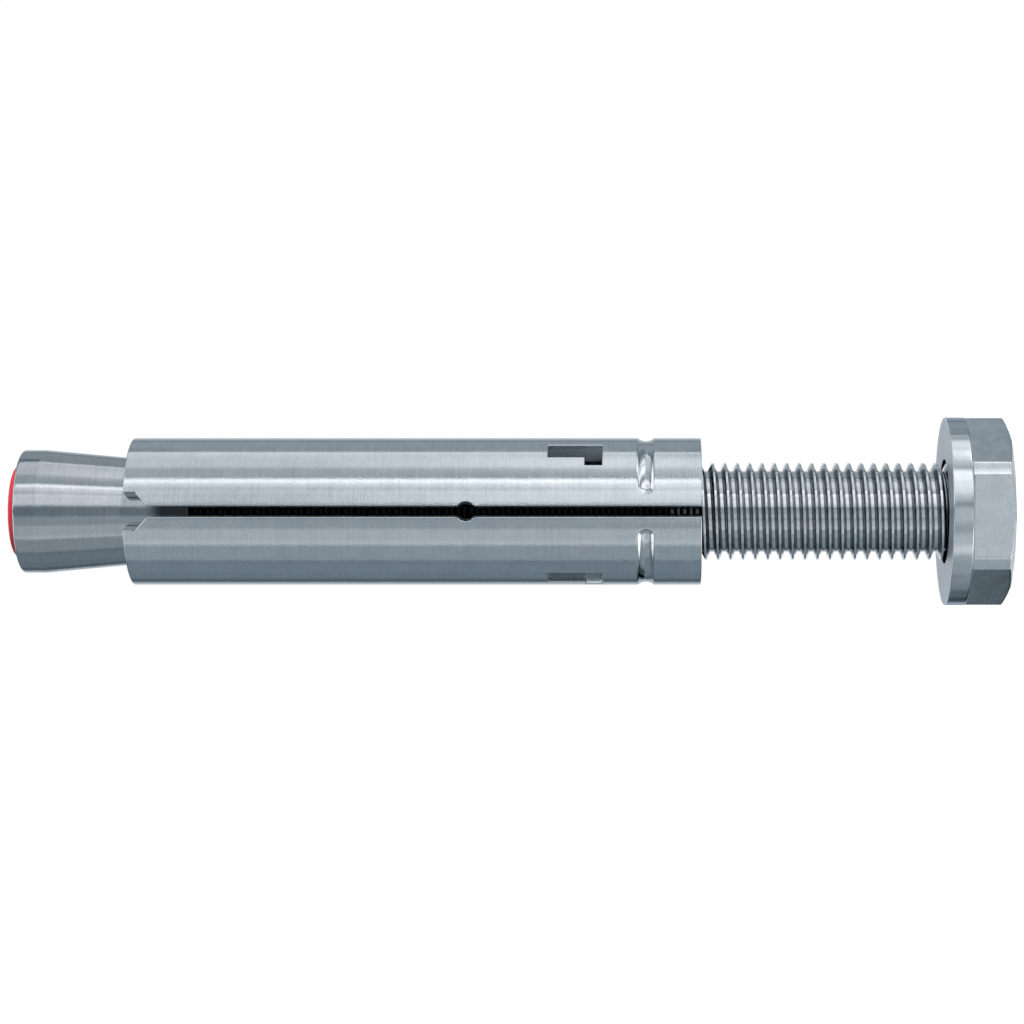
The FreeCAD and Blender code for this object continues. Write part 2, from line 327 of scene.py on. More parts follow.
class Graph:
    """A node tree that expressions and single nodes are added to."""

    def __init__(self, tree: NodeTree) -> None:
        """Start with an empty tree."""
        self.tree = tree
        tree.nodes.clear()

    def node(self, kind: str, settings: dict[str, Any] | None = None,
             values: dict[str | int, Any] | None = None) -> Node:
        """Add any node.

        Args:
            kind: the node's type, less its first part ShaderNode.
            settings: properties of the node, set first.
            values: numbers, colours, signals or sockets for the inputs, by name or index.

        Returns:
            The new node.
        """
        made = self.tree.nodes.new("ShaderNode" + kind)
        for key, setting in (settings or {}).items():
            setattr(made, key, setting)
        for key, item in (values or {}).items():
            if isinstance(item, Signal):
                item = item.socket
            if isinstance(item, NodeSocket):
                self.tree.links.new(item, made.inputs[key])
            else:
                made.inputs[key].default_value = item
        return made

    def signal(self, made: Node, output: str | int = 0) -> Signal:
        """Wrap one output of a node."""
        return Signal(self, made.outputs[output])

    def math(self, operation: str, *terms: Term) -> Signal:
        """Add a Math node over the terms and return its result."""
        made = self.node("Math", {"operation": operation}, dict(enumerate(terms)))
        return self.signal(made)

    def split(self, vector: NodeSocket) -> tuple[Signal, ...]:
        """Return the three coordinates of a vector."""
        made = self.node("SeparateXYZ", None, {0: vector})
        return tuple(self.signal(made, axis) for axis in range(3))

    def object_axes(self) -> tuple[Signal, ...]:
        """Return the object coordinates in millimetres."""
        spot = self.node("TexCoord").outputs["Object"]
        return tuple(axis * (1 / MM) for axis in self.split(spot))

    def smooth(self, term: Term, low: float, high: float) -> Signal:
        """Rise smoothly from 0 at low to 1 at high; low may be above high."""
        limits = {0: term, 1: low, 2: high, 3: 0, 4: 1}
        return self.signal(self.node("MapRange", {"interpolation_type": "SMOOTHSTEP"}, limits))

    def blend(self, factor: Term, first: Any, second: Any) -> NodeSocket:
        """Mix two colours.

        Args:
            factor: share of the second colour.
            first: a colour, or the socket of one.
            second: the other one.

        Returns:
            The socket of the mixed colour.
        """
        values = {0: factor}
        for key, colour in ((6, first), (7, second)):
            values[key] = (*colour, 1) if isinstance(colour, tuple) else colour
        return self.node("Mix", {"data_type": "RGBA"}, values).outputs[2]

    def noise(self, axes: Sequence[Term], scale: float, detail: float, fade: float = 0.55) -> Signal:
        """Add noise over a point.

        Args:
            axes: the point's three coordinates.
            scale: blobs in a millimetre, roughly.
            detail: number of finer patterns on top.
            fade: strength of each finer pattern as a share of the one before.

        Returns:
            The noise, of about 0 to 1.
        """
        point = self.node("CombineXYZ", None, dict(enumerate(axes)))
        return self.signal(self.node("TexNoise", None, {
            "Vector": point.outputs[0], "Scale": scale, "Detail": detail, "Roughness": fade}))

    def bump(self, strength: float, height: Signal) -> NodeSocket:
        """Return the normal of a surface with a fine relief of this height."""
        made = self.node("Bump", None, {
            "Strength": strength, "Distance": BUMP_DEPTH, "Height": height})
        return made.outputs[0]


def new_material(name: str) -> tuple[Material, Graph]:
    """Make a material and return it with its empty graph.

    Args:
        name: name of the material.

    Returns:
        The material and the graph of its nodes.
    """
    made = bpy.data.materials.new(name)
    made.use_nodes = True
    return made, Graph(made.node_tree)


@dataclass(frozen=True)
class Shade:
    """A place where a finish takes another tone and may get rougher. A dark tone there is
    painted shade, which darkens bores, thread grooves and what lies inside the sleeve.

    Its limits are pairs of a value where the place is full, as it is beyond it, and a value
    where it ends. The place lies inside all of them.
    """

    share: float
    rough: float = 0.0
    tone: Rgb = (0, 0, 0)
    reach: tuple[Span, ...] = ()
    height: tuple[Span, ...] = ()

    def amount(self, graph: Graph, reach: Signal, height: Signal) -> Term:
        """Say how far inside the place a point is.

        Args:
            graph: the graph that the nodes go into.
            reach: the point's distance from the axis, in millimetres.
            height: its height, in millimetres.

        Returns:
            The share, from 0 outside to 1.
        """
        inside: Term = 1
        for spot, limits in ((reach, self.reach), (height, self.height)):
            for full, none in limits:
                inside = inside * graph.smooth(spot, none, full)
        return inside


@dataclass(frozen=True)
class Plating:
    """Zinc-plated steel: a bright skin with hairlines, clouds and small scratches."""

    name: str
    lay: Lay
    tone: Rgb = (0.635, 0.655, 0.675)
    dull: Rgb = (0.56, 0.585, 0.61)
    roughness: float = 0.06
    hairline: float = 0.30
    grain: float = 0.4
    waviness: float = 0.8
    edge_tint: Rgb = WHITE
    shades: tuple[Shade, ...] = ()
    cloud_scale: float = 0.55
    speck_scale: float = 5.0
    line_scale: float = 6.0
    line_stretch: float = 0.03
    detail: float = 3.0
    line_detail: float = 4.0
    bump: float = 0.25
    mixture: Sizes = (0.4, 0.25, 0.35)
    mixture_span: Span = (0.36, 0.64)
    cloud_rough: float = 0.05
    speck_rough: float = 0.04

    def material(self) -> Material:
        """Build the material.

        Clouds of noise move the colour between tone and dull and roughen the skin a little.
        The bump is fine grain plus hairlines: noise stretched round the axis.

        Returns:
            The material.
        """
        made, graph = new_material(self.name)
        x, y, z = graph.object_axes()
        reach = (x * x + y * y) ** 0.5
        clouds = graph.noise((x, y, z), self.cloud_scale, self.detail)
        specks = graph.noise((x, y, z), self.speck_scale, self.detail)
        height = specks * self.grain + clouds * self.waviness
        lines: Term = 0.5
        if self.lay is not Lay.PLAIN:
            stretch = self.line_stretch
            around = self.lay is Lay.AROUND
            spot = (x * stretch, y * stretch, z) if around else (reach, z * stretch, 0)
            lines = graph.noise(spot, self.line_scale, self.line_detail)
            height = height + lines * self.hairline
        cloud, speck, line = self.mixture
        mixture = clouds * cloud + specks * speck + lines * line
        colour = graph.blend(graph.smooth(mixture, *self.mixture_span), self.dull, self.tone)
        rough = self.roughness + self.cloud_rough * clouds + self.speck_rough * specks
        # Each shade blends the colour towards its tone; the dark ones are painted shade in bores,
        # grooves and inside the sleeve.
        for shade in self.shades:
            inside = shade.amount(graph, reach, z)
            colour = graph.blend(inside * shade.share, colour, shade.tone)
            rough = rough + inside * shade.rough
        skin = graph.node("BsdfPrincipled", None, {
            "Base Color": colour, "Metallic": 1, "Roughness": rough,
            "Specular Tint": (*self.edge_tint, 1), "Normal": graph.bump(self.bump, height)})
        graph.node("OutputMaterial", None, {0: skin.outputs[0]})
        return made


@dataclass(frozen=True)
class Moulded:
    """Smooth moulded plastic with a faint cloudiness."""

    name: str
    tone: Rgb
    deep: Rgb
    roughness: float = 0.34
    cloud_scale: float = 0.8
    cloud_detail: float = 3.0
    cloud_span: Span = (0.3, 0.7)
    grain_scale: float = 9.0
    grain_detail: float = 2.0
    grain_rough: float = 0.1
    bump: float = 0.15

    def material(self) -> Material:
        """Build the material: two near tones in soft clouds over a fine moulded grain.

        Returns:
            The material.
        """
        made, graph = new_material(self.name)
        axes = graph.object_axes()
        clouds = graph.noise(axes, self.cloud_scale, self.cloud_detail)
        grain = graph.noise(axes, self.grain_scale, self.grain_detail)
        skin = graph.node("BsdfPrincipled", None, {
            "Base Color": graph.blend(graph.smooth(clouds, *self.cloud_span), self.deep, self.tone),
            "Roughness": self.roughness + self.grain_rough * grain,
            "Normal": graph.bump(self.bump, grain)})
        graph.node("OutputMaterial", None, {0: skin.outputs[0]})
        return made


# Pieces of the anchor


@dataclass
class Sleeve:
    """The expansion sleeve: a rolled sheet with seam, slots, windows and beads.

    A window's turns are where its foot starts, where its neck starts and where both end.
    The patch is half the side of the square round a slot's hole. Steps are the widest ones
    between columns, out from a slot, and between rows, from the foot up. Fine columns reach
    to fine_turn, and fine rows bead_reach to both sides of a bead.
    """

    bottom: float = node_ends("expansion_sleeve")[0]
    top: float = node_ends("expansion_sleeve")[1]
    outer: float = 7.4
    wall: float = 1.9
    sector: float = 120.0
    slot_half: float = 0.535
    slot_length: float = 33.8
    hole_radius: float = 0.965
    notch_half: float = 1.9
    notch_depth: float = 1.19
    notch_slant: float = 1.26
    notch_reach: float = 4.0
    window_back: float = 9.9
    window_foot: float = 1.7
    window_length: float = 5.36
    window_turns: Sizes = (38.7, 47.1, 63.5)
    bead_back: float = 5.54
    bead_width: float = 1.6
    bead_depth: float = 0.3
    bead_turns: Span = (13.2, 106.8)
    edge: float = 0.1
    edge_segments: int = 2
    edge_angle: float = 50.0
    patch: float = 1.6
    patch_rings: int = 4
    patch_step: float = 0.32
    fine_turn: float = 21.0
    bead_reach: float = 0.96
    slot_steps: Sizes = (2.2, 1.7, 0.9, 0.9)
    window_steps: Sizes = (3, 2.8, 2.8, 3)
    foot_steps: Sizes = (1.5, 0.1, 1.7, 0.85, 1.9, 3.3)
    mouth_steps: Sizes = (5.8, 1.6, 0.45, 0.6)
    # The first shade gives the cut walls a rougher finish in a near-base tone; the second is painted
    # shade that darkens the sleeve's bore.
    finish: Plating = Plating("sleeve_zinc", Lay.AROUND, grain=1.4, hairline=0.4, shades=(
        Shade(0.8, 0.35, (0.61, 0.65, 0.69), reach=((6.9, 7.05),)),
        Shade(0.9, reach=((5.5, 5.65),))))

    @property
    def slot_end(self) -> float:
        """Height of the centre of the holes that end the slots."""
        return self.top - self.slot_length

    def turn_of(self, half: float) -> float:
        """Return the turn at which a cut of this half width meets the outside."""
        return math.degrees(math.asin(half / self.outer))

    def arc(self, turn: Array) -> Array:
        """Return the length along the outside for a turn."""
        return np.radians(turn) * self.outer

    def from_slot(self, turn: Array) -> Array:
        """Return the signed turn from the nearest slot."""
        return (turn + self.sector / 2) % self.sector - self.sector / 2

    def slot_marks(self) -> Sizes:
        """Return the turns of a slot's middle and side, its patch's side and the notch's side."""
        return (0, self.turn_of(self.slot_half), math.degrees(self.patch / self.outer),
                self.turn_of(self.notch_half))

    def columns(self) -> Array:
        """Lay the grid's columns.

        Returns:
            Their turns, from one side of the seam to the other.
        """
        near = self.slot_marks() + (self.fine_turn,)
        far = tuple(self.sector - mark for mark in near[::-1])
        one = stations(near + self.window_turns + far,
                       self.slot_steps + self.window_steps + self.slot_steps[::-1])
        whole = np.concatenate([one[:-1], one[:-1] + self.sector, one + 2 * self.sector])
        slot = self.turn_of(self.slot_half)
        return whole[(whole > slot - TINY) & (whole < 360 - slot + TINY)]

    def rows(self) -> Array:
        """Lay the grid's rows.

        Returns:
            Their heights, from the foot to the mouth.
        """
        bead = self.bottom + self.bead_back
        window = self.bottom + self.window_back
        shoulder = self.top - self.notch_depth
        marks = (self.bottom, bead - self.bead_reach, bead + self.bead_reach, window,
                 window + self.window_foot, window + self.window_length,
                 self.slot_end - self.patch, self.slot_end + self.patch,
                 self.top - self.notch_reach, shoulder - self.notch_slant, shoulder, self.top)
        return stations(marks, self.foot_steps + (self.patch_step,) + self.mouth_steps)

    def kept(self, turn: Array, height: Array) -> Array:
        """Say which cells of the grid are sheet.

        Args:
            turn: turns of the cells' centres.
            height: their heights.

        Returns:
            False in a slot, notch, patch or window, and True elsewhere.
        """
        aside = np.abs(self.from_slot(turn))
        local = turn % self.sector
        wide, narrow, last = self.window_turns
        above = height - self.bottom - self.window_back
        slot = (aside < self.turn_of(self.slot_half)) & (height > self.slot_end)
        notch = (aside < self.turn_of(self.notch_half)) & (height > self.top - self.notch_depth)
        hole = (self.arc(aside) < self.patch) & (np.abs(height - self.slot_end) < self.patch)
        foot = (local > wide) & (local < last) & (above > 0) & (above < self.window_foot)
        neck = (local > narrow) & (local < last) & (above > 0) & (above < self.window_length)
        return ~(slot | notch | hole | foot | neck)

    def slanted(self, turn: Array, height: Array) -> Array:
        """Draw the rows down beside a slot so that they follow the notch's slant.

        Between the notch's side and the slot, a height z above the base b of the notch's
        reach becomes b + (z - b)(s - b) / (S - b), where S is the shoulder and s falls in a
        straight line from S at the notch's side to the notch's point at the slot.

        Args:
            turn: turns of the grid's points.
            height: their heights.

        Returns:
            The new heights.
        """
        base = self.top - self.notch_reach
        shoulder = self.top - self.notch_depth
        near, far = self.arc(self.turn_of(self.slot_half)), self.arc(self.turn_of(self.notch_half))
        aside = self.arc(np.abs(self.from_slot(turn)))
        share = np.clip((far - aside) / (far - near), 0, 1)
        scale = (shoulder - self.notch_slant * share - base) / (shoulder - base)
        inside = (height > base) & (height < shoulder + TINY) & (aside > near - TINY)
        return np.where(inside, base + (height - base) * scale, height)

    def hole_patch(self, slot_turn: float, side: float, seam: bool) -> tuple[Array, Array]:
        """Fill one half of the patch round a slot's hole.

        A point is (1 - k) a + k p, where a runs along the hole's arc, p along the patch's
        rim, and k rises from 0 to 1.

        Args:
            slot_turn: turn of the slot.
            side: 1 for the half at rising turns, -1 for the other.
            seam: whether the slot goes on below the hole too.

        Returns:
            Turns and heights, each shaped (points along the rim, steps outwards).
        """
        slot = self.arc(self.turn_of(self.slot_half))
        widths = self.arc(stations(self.slot_marks()[:3], self.slot_steps))
        beyond = widths[widths > slot - TINY]
        low = beyond if seam else widths
        ends = (self.slot_end - self.patch, self.slot_end + self.patch)
        levels = stations(ends, (self.patch_step,))[1:-1] - self.slot_end
        across = np.concatenate([low, np.full_like(levels, self.patch), beyond[::-1]])
        up = np.concatenate([np.full_like(low, -self.patch), levels, np.full_like(beyond, self.patch)])
        stop = math.acos(slot / self.hole_radius)
        start = -stop if seam else -math.pi / 2
        walked = np.concatenate([[0], np.cumsum(np.hypot(np.diff(across), np.diff(up)))])
        angle = (start + (stop - start) * walked / walked[-1])[:, None]
        share = np.linspace(0, 1, self.patch_rings)
        wide = (1 - share) * self.hole_radius * np.cos(angle) + share * across[:, None]
        high = (1 - share) * self.hole_radius * np.sin(angle) + share * up[:, None]
        return slot_turn + side * np.degrees(wide / self.outer), self.slot_end + high

    def sunk(self, turn: Array, height: Array) -> Array:
        """Work out how deep the beads press the sheet in.

        With d the distance from a bead's middle line, which has round ends, the depth is
        sqrt(R^2 - d^2) - (R - depth) inside the bead and 0 elsewhere; R is the circle
        through the bead's width and depth.

        Args:
            turn: turns of the sheet's points.
            height: their heights.

        Returns:
            The depths.
        """
        radius = (self.bead_width**2 / 4 + self.bead_depth**2) / (2 * self.bead_depth)
        cap = math.degrees(self.bead_width / 2 / self.outer)
        local = turn % self.sector
        beyond = np.maximum(self.bead_turns[0] + cap - local, local - self.bead_turns[1] + cap)
        along = self.arc(np.maximum(beyond, 0))
        away = np.hypot(along, height - self.bottom - self.bead_back)
        inside = np.sqrt(np.maximum(radius**2 - away**2, 0))
        return np.maximum(inside - (radius - self.bead_depth), 0)

    def sheet(self) -> tuple[Array, Array, Array]:
        """Lay out the flat sheet: the grid with its cells cut away, and the patches.

        Returns:
            Turns and heights of its vertices, and its quads.
        """
        columns, rows = self.columns(), self.rows()
        turn, height = np.meshgrid(columns, rows)
        middle = np.meshgrid((columns[:-1] + columns[1:]) / 2, (rows[:-1] + rows[1:]) / 2)
        turns, heights = [turn.ravel()], [self.slanted(turn, height).ravel()]
        parts = [grid_faces(*turn.shape)[self.kept(*middle).ravel()]]
        count = turn.size
        slots = round(360 / self.sector)
        halves = [(number, side) for number in range(slots + 1) for side in (1, -1)
                  if 0 < number + side / 2 < slots]
        for number, side in halves:
            wide, high = self.hole_patch(number * self.sector, side, number in (0, slots))
            parts.append(grid_faces(*wide.shape) + count)
            turns.append(wide.ravel())
            heights.append(high.ravel())
            count += wide.size
        turn, height = np.concatenate(turns), np.concatenate(heights)
        faces = np.concatenate(parts)
        spots = np.stack([turn, height], axis=1)[faces]
        first, last = spots[:, 1] - spots[:, 0], spots[:, 3] - spots[:, 0]
        flipped = first[:, 0] * last[:, 1] - first[:, 1] * last[:, 0] < 0
        faces[flipped] = faces[flipped][:, ::-1]
        return turn, height, faces

    def build(self) -> list[Object]:
        """Roll the sheet, give it its wall and break its edges.

        The outside is round_axis(turn, outer - sunk, height), the inside lies one wall
        closer to the axis, and each open edge of the sheet carries a quad between the two.

        Returns:
            The sleeve.
        """
        turn, height, faces = self.sheet()
        spots, index = np.unique(np.round(np.stack([turn, height], axis=1), 4), axis=0,
                                 return_inverse=True)
        turn, height = spots.T
        faces = index.reshape(-1)[faces]
        edges = np.stack([faces, np.roll(faces, -1, axis=1)], axis=-1).reshape(-1, 2)
        _, first, seen = np.unique(np.sort(edges, axis=1), axis=0, return_index=True, return_counts=True)
        rim = edges[first[seen == 1]]
        count = len(turn)
        radius = self.outer - self.sunk(turn, height)
        points = np.concatenate([round_axis(turn, radius, height),
                                 round_axis(turn, radius - self.wall, height)])
        walls = np.concatenate([rim[:, ::-1], rim + count], axis=1)
        faces = np.concatenate([faces, faces[:, ::-1] + count, walls])
        mesh = build_mesh("sleeve_sheet", points, faces, False)
        piece = place(mesh, Body.SLEEVE, "expansion_sleeve", self.finish.material())
        bevel = piece.modifiers.new("edges", "BEVEL")
        bevel.width, bevel.segments = self.edge * MM, self.edge_segments
        bevel.limit_method, bevel.angle_limit = "ANGLE", math.radians(self.edge_angle)
        bevel.use_clamp_overlap, bevel.harden_normals = False, True
        return [piece]


@dataclass
class ConeNut:
    """The cone nut: tail, cone and land, with a thread core for the dust plug."""

    bottom: float = node_ends("cone_nut")[0]
    top: float = node_ends("cone_nut")[1]
    tail: float = 5.4
    land: float = 6.19
    land_length: float = 2.2
    slope: float = 5.28
    bore: float = 4.93
    core: float = 4.35
    core_length: float = 2.8
    cuts: Sizes = (0, 0.12, 0.12, 0.3, 0.08, 0.24, 0.1, 0.05, 0.05, 0)
    sides: int = 128
    # Painted shade: the bore is darkened, and so is the cone where it sits inside the sleeve.
    finish: Plating = Plating("cone_zinc", Lay.AROUND, tone=(0.525, 0.54, 0.56),
                              dull=(0.465, 0.48, 0.5), grain=0.9, shades=(
        Shade(0.9, reach=((4.95, 5.1),)), Shade(0.85, height=((84.4, 86.2),))))

    def build(self) -> list[Object]:
        """Turn the closed profile: outside from tail to land, then back along the bore.

        Returns:
            The cone nut.
        """
        land = self.top - self.land_length
        taper = land - (self.land - self.tail) / math.tan(math.radians(self.slope))
        core = self.top - self.core_length
        corners = np.array([
            (self.bore, land), (self.bore, self.bottom), (self.tail, self.bottom),
            (self.tail, taper), (self.land, land), (self.land, self.top), (self.core, self.top),
            (self.core, core), (self.bore, core), (self.bore, land)])
        mesh = turned_mesh("cone_turned", rounded_path(corners, self.cuts), circle(self.sides))
        return [place(mesh, Body.CONE, "cone_nut", self.finish.material())]


@dataclass
class DustPlug:
    """The plug pressed into the front of the cone nut."""

    bottom: float = node_ends("dust_plug")[0]
    seat: float = node_ends("cone_nut")[1]
    top: float = node_ends("dust_plug")[1]
    stem: float = 4.34
    flange: float = 4.55
    cuts: Sizes = (0, 0.15, 0.02, 0.06, 0.22, 0)
    sides: int = 128
    finish: Moulded = Moulded("plug_plastic", (0.44, 0.018, 0.028), (0.39, 0.015, 0.024))

    def build(self) -> list[Object]:
        """Turn the profile: stem, flange with a rounded edge, flat face.

        Returns:
            The plug.
        """
        corners = np.array([
            (0, self.bottom), (self.stem, self.bottom), (self.stem, self.seat),
            (self.flange, self.seat), (self.flange, self.top), (0, self.top)])
        mesh = turned_mesh("plug_moulded", rounded_path(corners, self.cuts), circle(self.sides))
        return [place(mesh, Body.CONE, "dust_plug", self.finish.material())]


@dataclass
class HexBolt:
    """The bolt: a hexagon head with cut corners, and a right-hand thread up to it.

    Flats and corner are the distances of the head's sides from the axis. A cut corner has
    two planes, which fold in its middle. The thread's flats are given as parts of its
    pitch from a crest's middle, and so are the rows at their edges.
    """

    flats: float = 8.5
    height: float = node_ends("washer")[0]
    head_turn: float = -3.2
    sides: int = 6
    side_turn: float = 60.0
    corner: float = 9.447
    corner_fold: float = 3.0
    end_radius: float = 8.28
    end_slope: float = 24.0
    head_cuts: Sizes = (0, 0.14, 0.14, 0.14, 0)
    sharpness: float = 400.0
    edge_turns: Sizes = (0, 0.15, 0.3, 0.5, 0.75, 1.1, 1.6, 2.4)
    flat_share: float = 0.8
    flat_columns: int = 5
    fold_reach: float = 1.0
    fold_columns: int = 9
    crest: float = 4.88
    root: float = 4.07
    pitch: float = 1.25
    crest_height: float = 19.41
    crest_half: float = 0.082
    root_from: float = 0.375
    edge_phases: Sizes = (-0.01, 0, 0.012)
    tip: float = node_ends("hex_bolt")[1]
    tip_chamfer: float = 0.8
    shank_sink: float = 0.3
    shank_sides: int = 64
    head_finish: Plating = Plating("head_zinc", Lay.PLAIN, tone=(0.825, 0.84, 0.86),
                                   dull=(0.665, 0.685, 0.705), roughness=0.17, grain=1.1)
    # Painted shade: the thread's flanks are darkened as grooves, the shank is darkened inside the
    # sleeve, and the flanks next to the sleeve's foot carry a painted shadow.
    thread_finish: Plating = Plating("thread_zinc", Lay.PLAIN, tone=(0.7, 0.72, 0.74),
                                     dull=(0.63, 0.65, 0.67), grain=0.1, waviness=0.2, shades=(
        Shade(0.45, reach=((4.66, 4.8), (4.22, 4.12))), Shade(0.8, height=((31, 30.8),)),
        Shade(0.7, reach=((4.66, 4.8), (4.22, 4.12)), height=((30, 27.6),)),
        Shade(0.9, height=((34.2, 33.8),))))

    def head_radius(self, turn: Array) -> Array:
        """Work out the head's radius.

        The sides lie d from the axis at turns a: six flats, and two planes on each cut
        corner. With v = cos(turn - a) / d, the radius is 1 / (sum of v^p)^(1/p) over the
        sides that face the turn, which is the outline with slightly rounded edges.

        Args:
            turn: turns in degrees.

        Returns:
            The radius at each turn.
        """
        half = self.side_turn / 2
        step = np.array([0, half - self.corner_fold, half + self.corner_fold])
        normals = self.head_turn + (self.side_turn * np.arange(self.sides)[:, None] + step).ravel()
        reach = np.tile([self.flats, self.corner, self.corner], self.sides)
        facing = np.cos(np.radians(turn[:, None] - normals)) / reach
        scale = facing.max(axis=1)
        share = np.maximum(facing / scale[:, None], 0) ** self.sharpness
        return 1 / (scale * share.sum(axis=1) ** (1 / self.sharpness))

    def head_turns(self) -> Array:
        """Lay the head's columns, close together at its edges.

        A flat lies d from the axis and a corner plane c, at a turn f from it. They meet at
        the turn t with tan t = (c - d cos f) / (d sin f).

        Returns:
            Turns over the whole circle, both ends included.
        """
        half = self.side_turn / 2
        fold = math.radians(half - self.corner_fold)
        edge = math.degrees(math.atan2(self.corner - self.flats * math.cos(fold),
                                       self.flats * math.sin(fold)))
        away = np.array(self.edge_turns)
        near = np.concatenate([-away[:0:-1], away])
        flat = edge * np.linspace(-self.flat_share, self.flat_share, self.flat_columns)
        folded = half + np.linspace(-self.fold_reach, self.fold_reach, self.fold_columns)
        one = np.concatenate([flat, edge + near, folded, self.side_turn - edge + near])
        whole = (one + self.side_turn * np.arange(self.sides)[:, None]).ravel() + self.head_turn
        whole = np.unique(np.round(whole, 6))
        return np.append(whole, whole[0] + 360)

    def head(self) -> Mesh:
        """Carry the head's section round: end face, sloped chamfer, side and bearing face.

        Returns:
            The head's mesh.
        """
        turns = self.head_turns()
        radius = self.head_radius(turns)
        rise = (radius - self.end_radius) * math.tan(math.radians(self.end_slope))
        zero, end, top = (np.full_like(radius, size) for size in (0, self.end_radius, self.height))
        corners = np.stack([np.stack(spot, axis=-1) for spot in (
            (zero, zero), (end, zero), (radius, rise), (radius, top), (zero, top))], axis=1)
        return turned_mesh("bolt_head", rounded_path(corners, self.head_cuts), turns)

    def depth(self, phase: Array) -> Array:
        """Work out the thread's depth: 0 on the crest's flat, then straight down to the root's.

        Args:
            phase: phases, whole numbers on a crest's middle.

        Returns:
            The depth at each phase.
        """
        away = np.abs(phase - np.round(phase))
        share = (away - self.crest_half) / (self.root_from - self.crest_half)
        return (self.crest - self.root) * np.clip(share, 0, 1)

    def shank(self) -> Mesh:
        """Wind the thread.

        Row i of the grid has phase p_i and lies at height h + pitch (p_i + turn / 360), held
        between the shank's ends, so that crests and roots run along the rows. The radius is
        the crest's less the thread's depth, held under the tip's chamfer.

        Returns:
            The shank's mesh.
        """
        low = self.height - self.shank_sink
        edge = np.array(self.edge_phases)
        half = np.concatenate([self.crest_half + edge, [(self.crest_half + self.root_from) / 2],
                               self.root_from + edge])
        within = np.concatenate([[0], half, [0.5], 1 - half[::-1]])
        first = math.floor((low - self.crest_height) / self.pitch) - 2
        last = math.ceil((self.tip - self.crest_height) / self.pitch) + 1
        phases = (np.arange(first, last)[:, None] + within).reshape(-1, 1)
        turns = circle(self.shank_sides)
        height = np.clip(self.crest_height + self.pitch * (phases + turns / 360), low, self.tip)
        phase = (height - self.crest_height) / self.pitch - turns / 360
        chamfer = self.crest - self.tip_chamfer + self.tip - height
        radius = np.minimum(self.crest - self.depth(phase), chamfer)
        radius = np.pad(radius, ((1, 1), (0, 0)))
        height = np.pad(height, ((1, 1), (0, 0)), mode="edge")
        points = round_axis(turns, radius, height)
        return build_mesh("bolt_thread", points.reshape(-1, 3), grid_faces(*radius.shape), True)

    def build(self) -> list[Object]:
        """Build head and shank, which both stand for the bolt's node.

        Returns:
            The head and the shank.
        """
        return [
            place(self.head(), Body.BOLT, "hex_bolt", self.head_finish.material()),
            place(self.shank(), Body.BOLT, "hex_bolt", self.thread_finish.material())]


@dataclass
class Washer:
    """The plain washer on the head's bearing face."""

    seat: float = node_ends("washer")[0]
    top: float = node_ends("washer")[1]
    bore: float = 5.25
    outer: float = 9.5
    cuts: Sizes = (0, 0.1, 0.14, 0.07, 0.07, 0)
    sides: int = 160
    # The first shade only roughens the face inside the rim; the second is painted shade that darkens the
    # bore.
    finish: Plating = Plating("washer_zinc", Lay.RINGS, tone=(0.69, 0.71, 0.73),
                              dull=(0.61, 0.635, 0.66), roughness=0.1, hairline=0.25,
                              edge_tint=(0.7, 0.757, 0.81), shades=(
        Shade(0, 0.3, reach=((9.3, 9.44),)), Shade(0.95, reach=((5.26, 5.33),))))

    def build(self) -> list[Object]:
        """Turn the closed profile with its edges broken.

        Returns:
            The washer.
        """
        middle = (self.seat + self.top) / 2
        corners = np.array([(self.bore, middle), (self.bore, self.seat), (self.outer, self.seat),
                            (self.outer, self.top), (self.bore, self.top), (self.bore, middle)])
        mesh = turned_mesh("washer_ring", rounded_path(corners, self.cuts), circle(self.sides))
        return [place(mesh, Body.WASHER, "washer", self.finish.material())]


# Studio


@dataclass(frozen=True)
class Panel:
    """One upright panel of the surroundings; a negative strength is a darker one."""

    turn: float
    half: float
    soft: float
    strength: float
    level: Level

    def glow(self, graph: Graph, turn: Signal, rise: Signal) -> Signal:
        """Shine inside the half width and the level, with soft edges.

        A share of Z lies between -1 and 1, so a level's limits past them need no node.

        Args:
            graph: the graph of the surroundings.
            turn: the turn of a direction.
            rise: the direction's share of Z.

        Returns:
            The panel's light in that direction.
        """
        away = abs(turn - self.turn)
        glow = graph.smooth(away, self.half + self.soft, self.half) * self.strength
        below, start, end, above = self.level.value
        if start > -1:
            glow = glow * graph.smooth(rise, below, start)
        if end < 1:
            glow = glow * graph.smooth(rise, above, end)
        return glow


def hang(level: Level, *rows: Sizes) -> tuple[Panel, ...]:
    """Return panels of one level from their turns, half widths, soft edges and strengths."""
    return tuple(Panel(*row, level) for row in rows)


@dataclass(frozen=True)
class Lamp:
    """A soft square lamp: its place round the axis, its side, and its power in watts."""

    name: str
    turn: float
    reach: float
    height: float
    size: float
    power: float

    def build(self, target: Vector) -> None:
        """Hang the lamp.

        Args:
            target: the point that it faces, in metres.
        """
        light = bpy.data.lights.new(self.name, "AREA")
        light.shape, light.size, light.energy = "SQUARE", self.size * MM, self.power
        lamp = add_object(self.name, light)
        lamp.location = round_axis(self.turn, self.reach, self.height) * MM
        lamp.rotation_mode = "QUATERNION"
        lamp.rotation_quaternion = (target - lamp.location).to_track_quat("-Z", "Y")
        lamp.visible_camera = lamp.visible_glossy = False


